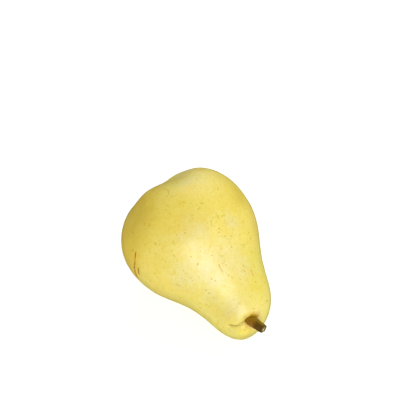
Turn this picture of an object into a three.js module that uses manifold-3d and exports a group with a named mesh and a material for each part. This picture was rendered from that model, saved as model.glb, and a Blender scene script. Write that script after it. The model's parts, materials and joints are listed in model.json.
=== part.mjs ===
// A ripe yellow pear, as picked: the fruit, its short woody stalk and the dried flower remains
// in its blossom end. It lies on its side, on the low point of its belly and on its neck end.
//
// Millimetres, +Z up. +X runs along the lying fruit towards its stalk. The origin is the middle
// of the spot that the belly rests on.
//
// Each piece is first made in the fruit's own frame and is then tipped into place:
//   x is the height along the core, from the blossom end to the stalk end,
//   y is the side, and z is the side that faces up when the fruit lies.
// "around" is the angle round the core in degrees, from the upper side towards -y.

import * as THREE from "three";
import { mergeVertices } from "three/addons/utils/BufferGeometryUtils.js";
import Module from "manifold-3d";

const wasm = await Module();
wasm.setup();

// ---- Driving dimensions ----

const FRUIT_LENGTH = 83.1;
const BELLY_RADIUS = 33.7;

// Half outline from the middle of the blossom basin, over its rim and the belly, to the middle of
// the crown: control points of a smooth curve, as share of the length, share of the belly's radius.
const OUTLINE = [
  [0.072, 0],
  [0.06, 0.163],
  [0.01, 0.267],
  [-0.018, 0.326],
  [0.028, 0.66],
  [0.147, 0.948],
  [0.306, 1],
  [0.474, 0.917],
  [0.621, 0.675],
  [0.757, 0.526],
  [0.881, 0.456],
  [0.977, 0.305],
  [1, 0],
];
const FIRST_OUTER_SPAN = 3; // the outline before this span is inside the blossom basin

// The neck leans off the core's line, more and more from this share of the length on.
const LEAN_FROM = 0.35;
const LEAN_DOWN = 2.4;
const LEAN_SIDE = 2.25;

// Soft lobes round the blossom end, one for each sepal.
const LOBES = { count: 5, rise: 0.45, reach: 9, height: 2, fullRadius: 15, around: 36 };

// Swells and hollows of the flesh: height and around of the place, rise along the skin's normal,
// reach.
const RELIEF = [
  [2.4, 8, -0.5, 9], // furrow in the upper shoulder beside the blossom end
  [2.4, -15, -1, 6.5], // and its deeper end
  [8, -34, 0.8, 9], // fuller shoulder on the +y side
  [0.6, 78, 1.2, 12], // fuller shoulder on the -y side
  [46.8, 120, -0.6, 14], // waist hollow low on the -y side
  [50.5, 100, -0.3, 9], // and a little more beside it
  [69.5, 98, 0.45, 7], // fuller neck end on the -y side
  [44.9, -70, 0.4, 12], // fuller flank on the +y side
  [79.5, -78, -1.6, 9], // shoulder of the crown, worn back on the +y side
  [81.8, 152, 0.4, 9], // fuller crown on its under side
  [73.2, 36, 0.6, 5.5], // ridge of flesh behind the stalk
  [79.2, 60, 0.7, 5], // lip of flesh beside the stalk
  [78.6, 27, -1.6, 3.4], // hollow where the stalk comes out
];

// Crease that runs from the stalk round under the ridge: places on the skin as height and around.
const CREASE = {
  places: [
    [76.9, 40],
    [76.3, 48],
    [75.9, 56],
    [75.4, 63],
    [74.3, 68],
    [73.2, 71],
  ],
  depth: 0.5,
  reach: 1.5,
};

const REST_PRESS = 0.3; // how far the resting spots are flattened

const STALK = {
  seat: [78.5, 30], // height and around of the place where its middle leaves the skin
  lean: 26, // degrees off the core's line, towards the upper side
  turn: 4, // degrees towards +y
  inside: 6,
  outside: 8.2,
  radius: 2.3,
  rootSwell: 0.25, // extra radius where it joins the flesh
  rootShare: 0.35, // share of the outside length over which that swell dies away
  tipTaper: 0.4, // how much thinner it is at the cut end
  ribs: 5,
  ribRise: 0.12,
  ribShare: 0.33, // share of the outside length over which the ribs rise out of the round root
};

const CALYX = {
  plugRadius: 2.6, // the dried base that holds the sepals
  plugDepth: 2.2, // below the basin's floor
  plugRise: 1.3, // above the basin's floor
  sepals: 5,
  sepalStart: 0.9, // from the core's line
  sepalLength: 6.2,
  sepalWidth: 3.4,
  sepalThickness: 0.7,
  sepalClearance: [0.5, 1.3], // above the basin's skin at the ends and at mid length
  sepalCurl: 0.8, // how far the tip curls up from the skin
  stamens: 11,
  stamenSpread: 2, // from the core's line, at their roots
  stamenSplay: 1.25,
  stamenHeight: 2.6,
  stamenRadius: 0.3,
};

const GAP = 0.3; // between pieces that touch on the real fruit

// ---- Mesh fineness ----

const FRUIT_SIDES = 64;
const RINGS_PER_SPAN = 5;
const CROWN_RINGS_PER_SPAN = 8;
const CROWN_SPANS = 3;
const STALK_SIDES = 20;
const STALK_RINGS = 14;
const SEPAL_STEPS = 7;
const PLUG_SIDES = 16;
const STAMEN_SIDES = 5;
const HALVINGS = 40; // steps of each search for a place or an angle

// ---- Shared helpers ----

const radians = THREE.MathUtils.degToRad;

// A closed geometry through rings of equally many points, with a fan to a point at either end.
// Seen from the end point, the points of each ring run anticlockwise.
function loft(startPoint, rings, endPoint) {
  const sides = rings[0].length;
  const points = [startPoint, ...rings.flat(), endPoint];
  const last = points.length - 1;
  const at = (ring, side) => 1 + ring * sides + (side % sides);
  const faces = [];
  for (let side = 0; side < sides; side++) {
    faces.push(0, at(0, side + 1), at(0, side));
    for (let ring = 0; ring + 1 < rings.length; ring++) {
      faces.push(at(ring, side), at(ring, side + 1), at(ring + 1, side + 1));
      faces.push(at(ring, side), at(ring + 1, side + 1), at(ring + 1, side));
    }
    faces.push(last, at(rings.length - 1, side), at(rings.length - 1, side + 1));
  }
  return new THREE.BufferGeometry().setFromPoints(points).setIndex(faces);
}

function solidOf(geometry) {
  const bare = geometry.clone();
  bare.deleteAttribute("normal");
  bare.deleteAttribute("uv");
  const merged = mergeVertices(bare, 1e-4);
  return new wasm.Manifold(
    new wasm.Mesh({
      numProp: 3,
      vertProperties: new Float32Array(merged.attributes.position.array),
      triVerts: new Uint32Array(merged.index.array),
    }),
  );
}

function geometryOf(solid) {
  const { vertProperties, triVerts } = solid.getMesh();
  return new THREE.BufferGeometry()
    .setAttribute("position", new THREE.BufferAttribute(vertProperties, 3))
    .setIndex(new THREE.BufferAttribute(triVerts, 1));
}

// A cylinder from one point to another.
function rod(from, to, radius, sides) {
  const along = new THREE.Vector3().subVectors(to, from);
  const turn = new THREE.Quaternion().setFromUnitVectors(
    new THREE.Vector3(0, 1, 0),
    along.clone().normalize(),
  );
  return new THREE.CylinderGeometry(radius, radius, along.length(), sides)
    .applyQuaternion(turn)
    .translate(...from.clone().addScaledVector(along, 0.5));
}

function meshOf(name, geometry, look) {
  geometry.computeVertexNormals();
  const mesh = new THREE.Mesh(geometry, new THREE.MeshStandardMaterial(look));
  mesh.name = name;
  return mesh;
}

// ---- The fruit's skin ----

const controls = OUTLINE.map(([height, radius]) => [height * FRUIT_LENGTH, radius * BELLY_RADIUS]);
const SPANS = controls.length - 1;
const mirrored = ([height, radius]) => [height, -radius];
const curve = [mirrored(controls[1]), ...controls, mirrored(controls[SPANS - 1])];

// The half outline, a uniform cubic B-spline, at place t from 0 to SPANS: a point and the outward normal.
function outlineAt(t) {
  const span = Math.min(Math.floor(t), SPANS - 1);
  const f = t - span;
  const weights = [(1 - f) ** 3, 3 * f ** 3 - 6 * f ** 2 + 4, -3 * f ** 3 + 3 * f ** 2 + 3 * f + 1, f ** 3];
  const slopes = [-((1 - f) ** 2), 3 * f ** 2 - 4 * f, -3 * f ** 2 + 2 * f + 1, f ** 2];
  const mix = (shares, axis) => shares.reduce((sum, share, i) => sum + share * curve[span + i][axis], 0);
  const run = Math.hypot(mix(slopes, 0), mix(slopes, 1));
  return {
    height: mix(weights, 0) / 6,
    radius: mix(weights, 1) / 6,
    normalHeight: -mix(slopes, 1) / run,
    normalRadius: mix(slopes, 0) / run,
  };
}

// A point at a height and radius, at an angle round the core in radians.
const round = (height, radius, angle) =>
  new THREE.Vector3(height, -radius * Math.sin(angle), radius * Math.cos(angle));

// The place t on the outer side of the outline that has this height.
function placeAtHeight(height) {
  let low = FIRST_OUTER_SPAN;
  let high = SPANS;
  for (let step = 0; step < HALVINGS; step++) {
    const middle = (low + high) / 2;
    if (outlineAt(middle).height < height) low = middle;
    else high = middle;
  }
  return low;
}

function placeOnSkin([height, around]) {
  const { height: at, radius } = outlineAt(placeAtHeight(height));
  return round(at, radius, radians(around));
}

const bumps = [
  ...RELIEF.map(([height, around, rise, reach]) => ({
    centre: placeOnSkin([height, around]),
    rise,
    reach,
  })),
  ...CREASE.places.map((place) => ({
    centre: placeOnSkin(place),
    rise: -CREASE.depth,
    reach: CREASE.reach,
  })),
];

function lobeRise(height, radius, angle) {
  const fade = Math.exp(-(((height - LOBES.height) / LOBES.reach) ** 2));
  const share = Math.min(radius / LOBES.fullRadius, 1) ** 2;
  return LOBES.rise * fade * share * Math.cos(LOBES.count * (angle - radians(LOBES.around)));
}

// A point of the skin, in the fruit's frame.
function skinAt(t, angle) {
  const { height, radius, normalHeight, normalRadius } = outlineAt(t);
  const point = round(height, radius, angle);
  let rise = lobeRise(height, radius, angle);
  for (const bump of bumps)
    rise += bump.rise * Math.exp(-point.distanceToSquared(bump.centre) / bump.reach ** 2);
  return leaned(point.addScaledVector(round(normalHeight, normalRadius, angle), rise));
}

function leaned(point) {
  const share = Math.max(0, (point.x / FRUIT_LENGTH - LEAN_FROM) / (1 - LEAN_FROM)) ** 2;
  point.z -= LEAN_DOWN * share;
  point.y -= LEAN_SIDE * share;
  return point;
}

function skinRings() {
  const rings = [];
  for (let span = 0; span < SPANS; span++) {
    const steps = span < SPANS - CROWN_SPANS ? RINGS_PER_SPAN : CROWN_RINGS_PER_SPAN;
    for (let step = 0; step < steps; step++) {
      const t = span + step / steps;
      if (t === 0) continue;
      rings.push(
        Array.from({ length: FRUIT_SIDES }, (_, side) => skinAt(t, (2 * Math.PI * side) / FRUIT_SIDES)),
      );
    }
  }
  return rings;
}

const rings = skinRings();
const skin = loft(skinAt(0, 0), rings, skinAt(SPANS, 0));

// ---- How the fruit comes to rest ----

// It tips, stalk end down, until the belly and the neck end are level.
function lowestOf(points, tip) {
  const turned = points.map((point) => point.clone().applyAxisAngle(new THREE.Vector3(0, 1, 0), tip));
  return turned.reduce((low, point) => (point.z < low.z ? point : low));
}

const BELLY_UP_TO = 0.55 * FRUIT_LENGTH;
const NECK_FROM = 0.7 * FRUIT_LENGTH;
const TIP_RANGE = [radians(10), radians(35)];
const bellyPoints = rings.flat().filter((point) => point.x < BELLY_UP_TO);
const neckPoints = rings.flat().filter((point) => point.x > NECK_FROM);

function restingTip() {
  let [low, high] = TIP_RANGE;
  for (let step = 0; step < HALVINGS; step++) {
    const middle = (low + high) / 2;
    if (lowestOf(neckPoints, middle).z > lowestOf(bellyPoints, middle).z) low = middle;
    else high = middle;
  }
  return low;
}

const tip = restingTip();
const restingPoint = lowestOf(bellyPoints, tip);
const place = new THREE.Matrix4()
  .makeTranslation(-restingPoint.x, -restingPoint.y, -restingPoint.z - REST_PRESS)
  .multiply(new THREE.Matrix4().makeRotationY(tip));

// ---- Stalk ----

const stalkSeat = skinAt(placeAtHeight(STALK.seat[0]), radians(STALK.seat[1]));
const stalkUp = round(-Math.sin(radians(STALK.lean)), Math.cos(radians(STALK.lean)), 0);
const stalkAlong = round(Math.cos(radians(STALK.lean)), Math.sin(radians(STALK.lean)), 0)
  .applyAxisAngle(stalkUp, radians(STALK.turn));
const stalkSide = new THREE.Vector3().crossVectors(stalkAlong, stalkUp);

// A point near the stalk's line: distance from the seat along it, and a radius and angle round it.
function byStalk(along, radius, angle) {
  return stalkSeat
    .clone()
    .addScaledVector(stalkAlong, along)
    .addScaledVector(stalkUp, radius * Math.cos(angle))
    .addScaledVector(stalkSide, radius * Math.sin(angle));
}

function stalkRing(along) {
  const outside = Math.max(0, along) / STALK.outside;
  const root = STALK.rootSwell * Math.exp(-((outside / STALK.rootShare) ** 2));
  const radius = STALK.radius + root - STALK.tipTaper * outside ** 4;
  const ribRise = STALK.ribRise * Math.min(1, outside / STALK.ribShare);
  return Array.from({ length: STALK_SIDES }, (_, side) => {
    const angle = (2 * Math.PI * side) / STALK_SIDES;
    return byStalk(along, radius + ribRise * Math.cos(STALK.ribs * angle), angle);
  });
}

function stalkGeometry() {
  const step = (STALK.inside + STALK.outside) / STALK_RINGS;
  const stalkRings = Array.from({ length: STALK_RINGS + 1 }, (_, ring) =>
    stalkRing(step * ring - STALK.inside),
  );
  return loft(byStalk(-STALK.inside, 0, 0), stalkRings, byStalk(STALK.outside, 0, 0));
}

// The plain hole that the stalk stands in.
const stalkHole = () =>
  rod(
    byStalk(-STALK.inside - GAP, 0, 0),
    byStalk(STALK.outside, 0, 0),
    STALK.radius + STALK.rootSwell + GAP,
    STALK_SIDES,
  );

// ---- Dried calyx ----

const basinFloor = skinAt(0, 0).x;
const plugMouth = basinFloor - CALYX.plugRise;
const onCore = (height) => new THREE.Vector3(height, 0, 0);

// The height of the basin's skin at a distance from the core's line.
function basinHeight(radius) {
  let low = 0;
  let high = FIRST_OUTER_SPAN;
  for (let step = 0; step < HALVINGS; step++) {
    const middle = (low + high) / 2;
    if (outlineAt(middle).radius < radius) low = middle;
    else high = middle;
  }
  return outlineAt(low).height;
}

// The section of a dried sepal, at a share of its length: six points, thickest along its midrib.
function sepalRing(angle, share) {
  const out = CALYX.sepalStart + CALYX.sepalLength * share;
  const [atEnds, atMiddle] = CALYX.sepalClearance;
  const lift = atEnds + (atMiddle - atEnds) * Math.sin(Math.PI * share) + CALYX.sepalThickness;
  const height = basinHeight(out) - lift - CALYX.sepalCurl * share ** 3;
  const half = (CALYX.sepalWidth / 2) * Math.sqrt(1.05 - share ** 1.6);
  const thick = CALYX.sepalThickness / 2;
  const sideways = round(0, 1, angle - Math.PI / 2);
  const corner = (across, above) => round(height - above, out, angle).addScaledVector(sideways, across);
  return [
    corner(half, thick),
    corner(0, 1.5 * thick),
    corner(-half, thick),
    corner(-half, -thick),
    corner(0, -0.5 * thick),
    corner(half, -thick),
  ];
}

function sepalGeometry(angle) {
  const blade = Array.from({ length: SEPAL_STEPS + 1 }, (_, step) => sepalRing(angle, step / SEPAL_STEPS));
  const middleOf = (ring) =>
    ring.reduce((sum, point) => sum.add(point), new THREE.Vector3()).divideScalar(ring.length);
  return loft(middleOf(blade[0]), blade, middleOf(blade[SEPAL_STEPS]));
}

// The stamens spiral out from the middle, a golden angle apart, and stand a little unevenly.
const GOLDEN_ANGLE = Math.PI * (3 - Math.sqrt(5));

function stamenGeometry(n) {
  const out = CALYX.stamenSpread * Math.sqrt((n + 0.5) / CALYX.stamens);
  const height = CALYX.stamenHeight * (0.7 + 0.3 * Math.cos(2.1 * n));
  const root = round(plugMouth + 0.5, out, n * GOLDEN_ANGLE);
  const end = round(plugMouth - height, out * CALYX.stamenSplay, n * GOLDEN_ANGLE);
  return rod(root, end, CALYX.stamenRadius, STAMEN_SIDES);
}

function calyxSolid() {
  const plug = rod(onCore(basinFloor + CALYX.plugDepth), onCore(plugMouth), CALYX.plugRadius, PLUG_SIDES);
  const angles = Array.from({ length: CALYX.sepals }, (_, n) => (2 * Math.PI * n) / CALYX.sepals);
  const stamens = Array.from({ length: CALYX.stamens }, (_, n) => stamenGeometry(n));
  return [...angles.map(sepalGeometry), ...stamens].reduce(
    (solid, geometry) => solid.add(solidOf(geometry)),
    solidOf(plug),
  );
}

// The plain hole that the calyx is rooted in.
const calyxHole = () =>
  rod(
    onCore(basinFloor + CALYX.plugDepth + GAP),
    onCore(-FRUIT_LENGTH / 2),
    CALYX.plugRadius + GAP,
    PLUG_SIDES,
  );

// ---- The pear ----

// What lies below the resting plane is cut off, which leaves the two flat spots.
function belowRest() {
  const size = 3 * FRUIT_LENGTH;
  return new THREE.BoxGeometry(size, size, size).translate(0, 0, -size / 2);
}

function fruitSolid() {
  const holed = solidOf(skin).subtract(solidOf(stalkHole())).subtract(solidOf(calyxHole()));
  const placed = solidOf(geometryOf(holed).applyMatrix4(place));
  return placed.subtract(solidOf(belowRest()));
}

const SKIN_LOOK = { color: 0xf0dc70, roughness: 0.42, metalness: 0 };
const STALK_LOOK = { color: 0x6a4a1c, roughness: 0.75, metalness: 0 };
const CALYX_LOOK = { color: 0x4a3420, roughness: 0.9, metalness: 0 };

const pear = new THREE.Group();
pear.add(
  meshOf("fruit", geometryOf(fruitSolid()), SKIN_LOOK),
  meshOf("stalk", stalkGeometry().applyMatrix4(place), STALK_LOOK),
  meshOf("calyx", geometryOf(calyxSolid()).applyMatrix4(place), CALYX_LOOK),
);

export default pear;
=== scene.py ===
"""Dresses a lying pear: its skin, the corky dots on it, its stalk and dried calyx, and a white studio."""

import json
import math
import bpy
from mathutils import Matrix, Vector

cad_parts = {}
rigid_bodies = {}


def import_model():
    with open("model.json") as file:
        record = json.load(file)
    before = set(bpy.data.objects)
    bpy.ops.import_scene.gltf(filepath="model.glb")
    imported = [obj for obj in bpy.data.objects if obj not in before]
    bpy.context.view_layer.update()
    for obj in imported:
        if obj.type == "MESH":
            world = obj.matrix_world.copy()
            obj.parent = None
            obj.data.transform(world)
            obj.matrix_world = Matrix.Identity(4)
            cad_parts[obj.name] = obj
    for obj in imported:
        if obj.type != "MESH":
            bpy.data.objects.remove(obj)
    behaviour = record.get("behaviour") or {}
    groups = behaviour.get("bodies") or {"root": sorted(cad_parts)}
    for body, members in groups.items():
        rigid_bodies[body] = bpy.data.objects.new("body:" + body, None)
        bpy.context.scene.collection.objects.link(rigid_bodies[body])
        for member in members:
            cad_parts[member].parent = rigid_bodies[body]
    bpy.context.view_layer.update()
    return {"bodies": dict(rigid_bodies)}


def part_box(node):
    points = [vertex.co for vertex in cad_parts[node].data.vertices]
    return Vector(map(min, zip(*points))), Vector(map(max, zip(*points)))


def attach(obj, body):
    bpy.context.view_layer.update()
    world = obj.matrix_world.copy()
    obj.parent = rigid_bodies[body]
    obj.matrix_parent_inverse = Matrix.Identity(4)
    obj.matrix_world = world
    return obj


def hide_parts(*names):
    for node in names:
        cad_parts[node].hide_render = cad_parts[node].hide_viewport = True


bl_info = {
    "name": "Lying Pear",
    "version": (1, 0, 0),
    "blender": (4, 5, 0),
    "location": "3D View > Sidebar > Pear",
    "description": "Makes a ripe yellow pear that lies on its side, with its stalk and dried calyx",
    "category": "Add Mesh",
}

import bpy
import numpy as np
from bpy.props import FloatProperty, FloatVectorProperty, IntProperty, PointerProperty
from mathutils import Matrix, Vector, noise

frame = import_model()

BODY = next(iter(frame["bodies"]))

# Lengths are in metres and angles in degrees. Each piece is first made in the fruit's own frame: x is the
# height along the core, from the blossom end to the stalk end, y is the side, and z is the side that faces up
# when the fruit lies. "around" is the angle round the core, from the upper side towards -y.

# ---- The fruit's form ----

# Half outline from the middle of the blossom basin, over its rim and the belly, to the middle of the crown:
# the control points of a smooth curve, as shares of the length and of the belly's radius.
OUTLINE = (
    (0.072, 0), (0.06, 0.163), (0.01, 0.267), (-0.018, 0.326), (0.028, 0.66), (0.147, 0.948), (0.306, 1),
    (0.474, 0.917), (0.621, 0.675), (0.757, 0.526), (0.881, 0.456), (0.977, 0.305), (1, 0),
)
SPANS = len(OUTLINE) - 1
FIRST_OUTER_SPAN = 3
LEAN_FROM = 0.35

LOBES = 5
LOBE_HEIGHT = 0.002
LOBE_REACH = 0.009
LOBE_FULL_RADIUS = 0.015
LOBE_AROUND = 36

# Swells and hollows of the flesh: height, around, rise along the skin's normal, reach.
RELIEF = (
    (0.0024, 8, -0.0005, 0.009),
    (0.0024, -15, -0.001, 0.0065),
    (0.008, -34, 0.0008, 0.009),
    (0.0006, 78, 0.0012, 0.012),
    (0.0468, 120, -0.0006, 0.014),
    (0.0505, 100, -0.0003, 0.009),
    (0.0695, 98, 0.00045, 0.007),
    (0.0449, -70, 0.0004, 0.012),
    (0.0795, -78, -0.0016, 0.009),
    (0.0818, 152, 0.0004, 0.009),
    (0.0732, 36, 0.0006, 0.0055),
    (0.0792, 60, 0.0007, 0.005),
    (0.0786, 27, -0.0016, 0.0034),
)

# The crease that runs from the stalk round under the ridge: places on the skin as height and around.
CREASE = ((0.0769, 40), (0.0763, 48), (0.0759, 56), (0.0754, 63), (0.0743, 68), (0.0732, 71))
CREASE_GAP = (0.0758, 56)
CREASE_REACH = 0.0015
GROOVE_REACH = 0.0005

# Hollow under the edge of flesh that the stalk comes out from.
ROOT_HOLLOW = (0.0768, 36, -0.0009, 0.0022)

STALK_SEAT = (0.0785, 30)
STALK_LEAN = 26
STALK_TURN = 4

SKIN_SIDES = 288
SKIN_RINGS_PER_SPAN = 26

# Where the belly ends and the neck begins, as shares of the length, and the tips in degrees between which the
# fruit comes to rest on both.
BELLY_ENDS = 0.55
NECK_BEGINS = 0.7
TIP_RANGE = (10, 35)
TIP_HALVINGS = 40
RESTING_SIDES = 180
RESTING_RINGS_PER_SPAN = 40


def circle(sides):
    """Even angles round a circle, in radians."""
    return np.linspace(0, 2 * math.pi, sides, endpoint=False)


def outline_at(sizes, t):
    """Height, radius and outward normal (height, radius) of the half outline at t, from 0 to SPANS."""
    controls = np.array(OUTLINE) * (sizes.length, sizes.belly_radius)
    curve = np.vstack([controls[1] * (1, -1), controls, controls[-2] * (1, -1)])
    t = np.asarray(t, float)
    span = np.minimum(t.astype(int), SPANS - 1)
    f = (t - span)[..., None]
    weights = ((1 - f) ** 3, 3 * f**3 - 6 * f**2 + 4, -3 * f**3 + 3 * f**2 + 3 * f + 1, f**3)
    slopes = (-((1 - f) ** 2), 3 * f**2 - 4 * f, -3 * f**2 + 2 * f + 1, f**2)
    point = sum(w * curve[span + n] for n, w in enumerate(weights)) / 6
    slope = sum(w * curve[span + n] for n, w in enumerate(slopes))
    slope /= np.linalg.norm(slope, axis=-1, keepdims=True)
    return point[..., 0], point[..., 1], -slope[..., 1], slope[..., 0]


def round_core(height, radius, angle):
    """Points at a height and radius, at an angle round the core in radians."""
    return np.stack(np.broadcast_arrays(height, -radius * np.sin(angle), radius * np.cos(angle)), -1)


def t_at_height(sizes, height):
    """The place on the outer side of the outline that has this height."""
    t = np.linspace(FIRST_OUTER_SPAN, SPANS, 4000)
    return float(np.interp(height, outline_at(sizes, t)[0], t))


def smooth_place(sizes, height, around):
    """A place on the skin before its relief and lean."""
    at, radius = outline_at(sizes, t_at_height(sizes, height))[:2]
    return round_core(at, radius, math.radians(around))


def leaned(sizes, points):
    """The points after the neck's lean off the core's line."""
    share = np.clip((points[..., 0] / sizes.length - LEAN_FROM) / (1 - LEAN_FROM), 0, None) ** 2
    offset = np.stack([0 * share, -sizes.lean_side * share, -sizes.lean_down * share], -1)
    return points + offset


def chain_away(points, chain):
    """Distance of each point from a chain of straight lines."""
    nearest = np.full(points.shape[:-1], np.inf)
    for start, end in zip(chain, chain[1:]):
        run = end - start
        share = np.clip(((points - start) @ run) / (run @ run), 0, 1)
        away = points - start - share[..., None] * run
        nearest = np.minimum(nearest, np.linalg.norm(away, axis=-1))
    return nearest


def skin_points(sizes, t, angle):
    """Points of the skin in the fruit's frame: one row for each t, one column for each angle in radians."""
    height, radius, normal_height, normal_radius = (v[:, None] for v in outline_at(sizes, t))
    angle = np.asarray(angle)[None]
    points = round_core(height, radius, angle)
    normals = round_core(normal_height, normal_radius, angle)
    fade = np.exp(-(((height - LOBE_HEIGHT) / LOBE_REACH) ** 2))
    fade = fade * np.minimum(radius / LOBE_FULL_RADIUS, 1) ** 2
    rise = sizes.lobe_rise * fade * np.cos(LOBES * (angle - math.radians(LOBE_AROUND)))
    bumps = list(RELIEF) + [(*place, -sizes.crease_depth, CREASE_REACH) for place in CREASE]
    for at, around, swell, reach in [*bumps, ROOT_HOLLOW]:
        away = points - smooth_place(sizes, at, around)
        rise = rise + swell * np.exp(-(away**2).sum(-1) / reach**2)
    groove = chain_away(points, [smooth_place(sizes, *place) for place in CREASE])
    rise = rise - sizes.groove_depth * np.exp(-((groove / GROOVE_REACH) ** 2))
    return leaned(sizes, points + normals * rise[..., None])


def skin_point(sizes, t, angle=0.0):
    """One point of the skin in the fruit's frame."""
    return skin_points(sizes, np.array([t], float), [angle])[0, 0]


def skin_place(sizes, height, around):
    """A place on the finished skin, in the fruit's frame."""
    return skin_point(sizes, t_at_height(sizes, height), math.radians(around))


def tipped(points, tip):
    """The points after the fruit's stalk end is let down by this angle in radians."""
    cos, sin = math.cos(tip), math.sin(tip)
    x, y, z = points[..., 0], points[..., 1], points[..., 2]
    return np.stack([x * cos + z * sin, y, z * cos - x * sin], -1)


def resting_place(sizes):
    """The matrix that lays the fruit on its belly and neck end, where the frame's fruit lies."""
    t = np.linspace(0, SPANS, RESTING_RINGS_PER_SPAN * SPANS)
    points = skin_points(sizes, t, circle(RESTING_SIDES))
    belly = points[points[..., 0] < BELLY_ENDS * sizes.length]
    neck = points[points[..., 0] > NECK_BEGINS * sizes.length]
    low, high = (math.radians(tip) for tip in TIP_RANGE)
    for _ in range(TIP_HALVINGS):
        tip = (low + high) / 2
        if tipped(neck, tip)[:, 2].min() > tipped(belly, tip)[:, 2].min():
            low = tip
        else:
            high = tip
    lying = tipped(points.reshape(-1, 3), tip)
    box_low, box_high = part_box("fruit")
    low, high = lying.min(0), lying.max(0)
    shift = Vector((box_low.x - low[0], box_low.y - low[1], box_high.z - high[2]))
    return Matrix.Translation(shift) @ Matrix.Rotation(tip, 4, "Y")


# ---- Shared mesh helpers ----


def loft(start, rings, end):
    """Vertices and faces of a closed skin through rings of points, fanned to a point at either end."""
    count, sides = rings.shape[:2]
    vertices = np.vstack([start[None], rings.reshape(-1, 3), end[None]])
    ring = 1 + np.arange(count)[:, None] * sides
    here = ring + np.arange(sides)
    after = ring + (np.arange(sides) + 1) % sides
    quads = np.stack([here[:-1], after[:-1], after[1:], here[1:]], -1).reshape(-1, 4)
    last = len(vertices) - 1
    faces = [(0, b, a) for a, b in zip(here[0].tolist(), after[0].tolist())]
    faces += quads.tolist()
    faces += [(last, a, b) for a, b in zip(here[-1].tolist(), after[-1].tolist())]
    return vertices, faces


def mesh_object(name, vertices, faces, matrix=None):
    """A smooth-shaded object at the origin, with its place in its mesh."""
    mesh = bpy.data.meshes.new(name)
    mesh.from_pydata(np.asarray(vertices).tolist(), [], faces)
    if matrix is not None:
        mesh.transform(matrix)
    mesh.shade_smooth()
    piece = bpy.data.objects.new(name, mesh)
    bpy.context.scene.collection.objects.link(piece)
    return piece


def applied(piece, tree, values):
    """Runs a Geometry Nodes tree on the piece with the named inputs, and keeps the result as a plain mesh."""
    modifier = piece.modifiers.new(tree.name, "NODES")
    modifier.node_group = tree
    inputs = {item.name: item.identifier for item in tree.interface.items_tree if item.in_out == "INPUT"}
    for name, value in values.items():
        modifier[inputs[name]] = value
    bpy.context.view_layer.update()
    evaluated = piece.evaluated_get(bpy.context.evaluated_depsgraph_get())
    made = bpy.data.meshes.new_from_object(evaluated)
    piece.modifiers.remove(modifier)
    piece.data = made
    made.name = piece.name
    return piece


# ---- Shared node helpers ----

NODE_SPACING = 180
BUMP_DEPTH = 0.0002


def linear(red, green, blue):
    """A colour given as 0 to 255 on screen, in the linear values that shaders use."""
    shares = (red / 255, green / 255, blue / 255)
    return tuple(s / 12.92 if s <= 0.04045 else ((s + 0.055) / 1.055) ** 2.4 for s in shares)


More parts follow.
